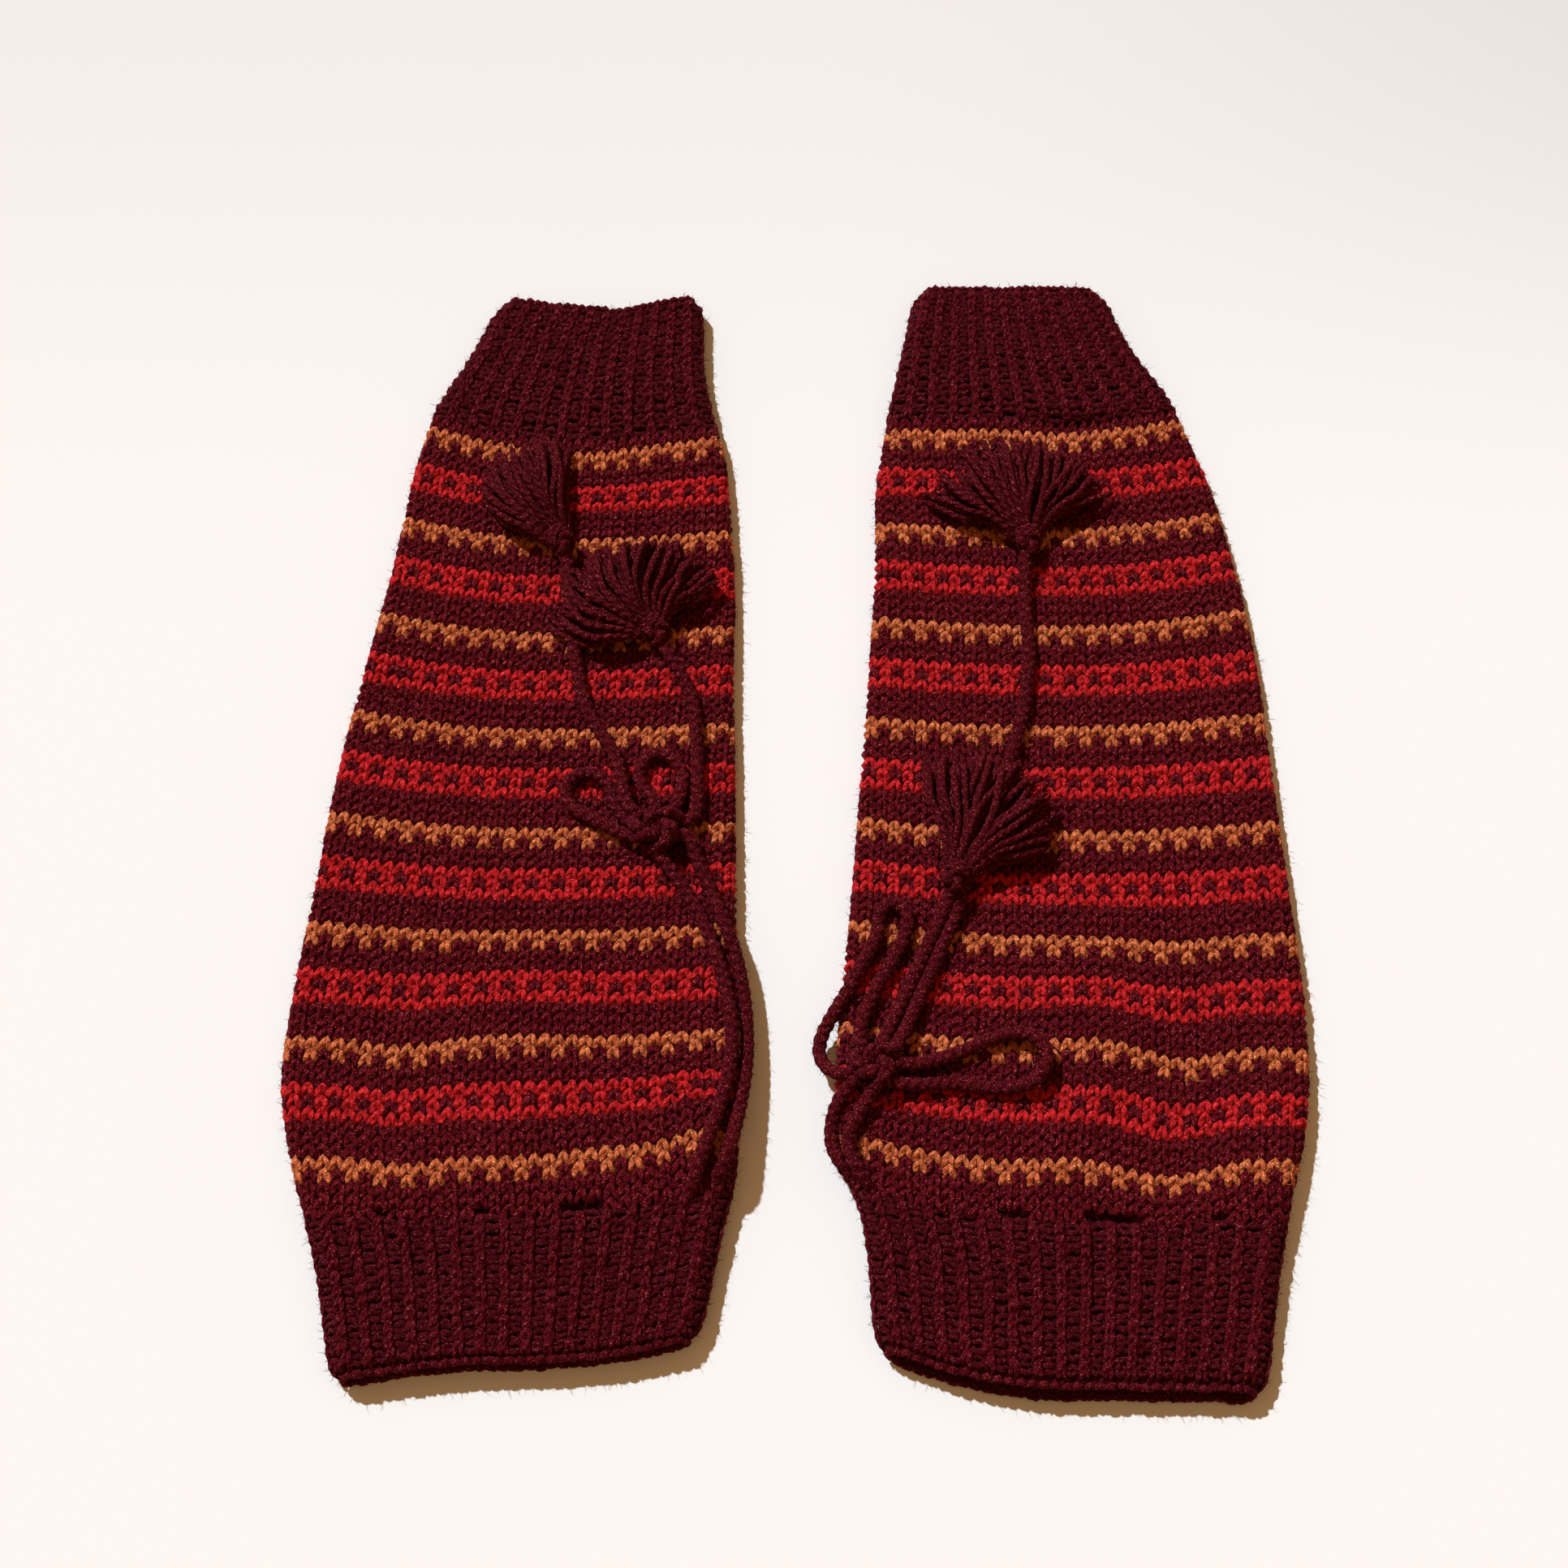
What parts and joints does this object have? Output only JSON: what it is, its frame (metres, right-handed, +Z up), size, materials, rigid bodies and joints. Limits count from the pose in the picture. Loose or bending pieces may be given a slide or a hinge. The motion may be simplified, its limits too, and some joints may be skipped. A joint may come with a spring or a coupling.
{
  "type": "pair of leg warmers",
  "caption": "Hand-knitted leg warmers lying flat side by side: tapered tubes with ribbed hems, toothed stripes, and a drawstring tied in a bow with yarn tassels at each knee.",
  "frame": {"origin": "on the table under the middle of the pair", "axes": "+X to the right across the pair, +Y from the knee hems towards the ankle hems, +Z up from the table"},
  "size_m": [0.3515, 0.4244, 0.0221],
  "materials": {
    "left_ankle_rib": "hand-knitted maroon wool, 1 x 1 rib",
    "left_body": "hand-knitted stranded wool in maroon, red and orange",
    "left_knee_rib": "hand-knitted maroon wool, 1 x 1 rib",
    "left_cord_tail_long": "twisted maroon yarn cord",
    "left_cord_tail_short": "twisted maroon yarn cord",
    "left_cord_bow_left": "twisted maroon yarn cord",
    "left_cord_bow_right": "twisted maroon yarn cord",
    "left_cord_exit_front": "twisted maroon yarn cord",
    "left_cord_exit_edge": "twisted maroon yarn cord",
    "left_bow_knot": "knotted maroon yarn cord",
    "left_tassel_long": "cut maroon yarn",
    "left_tassel_short": "cut maroon yarn",
    "right_ankle_rib": "hand-knitted maroon wool, 1 x 1 rib",
    "right_body": "hand-knitted stranded wool in maroon, red and orange",
    "right_knee_rib": "hand-knitted maroon wool, 1 x 1 rib",
    "right_cord_tail_long": "twisted maroon yarn cord",
    "right_cord_tail_short": "twisted maroon yarn cord",
    "right_cord_bow_left": "twisted maroon yarn cord",
    "right_cord_bow_right": "twisted maroon yarn cord",
    "right_cord_exit_front": "twisted maroon yarn cord",
    "right_cord_exit_edge": "twisted maroon yarn cord",
    "right_bow_knot": "knotted maroon yarn cord",
    "right_tassel_long": "cut maroon yarn",
    "right_tassel_short": "cut maroon yarn"
  },
  "bodies": {
    "root": {"left_ankle_rib": "left_ankle_rib", "left_body": "left_body", "left_knee_rib": "left_knee_rib", "left_cord_tail_long": "left_cord_tail_long", "left_cord_tail_short": "left_cord_tail_short", "left_cord_bow_left": "left_cord_bow_left", "left_cord_bow_right": "left_cord_bow_right", "left_cord_exit_front": "left_cord_exit_front", "left_cord_exit_edge": "left_cord_exit_edge", "left_bow_knot": "left_bow_knot", "left_tassel_long": "left_tassel_long", "left_tassel_short": "left_tassel_short", "right_ankle_rib": "right_ankle_rib", "right_body": "right_body", "right_knee_rib": "right_knee_rib", "right_cord_tail_long": "right_cord_tail_long", "right_cord_tail_short": "right_cord_tail_short", "right_cord_bow_left": "right_cord_bow_left", "right_cord_bow_right": "right_cord_bow_right", "right_cord_exit_front": "right_cord_exit_front", "right_cord_exit_edge": "right_cord_exit_edge", "right_bow_knot": "right_bow_knot", "right_tassel_long": "right_tassel_long", "right_tassel_short": "right_tassel_short"}
  },
  "joints": []
}
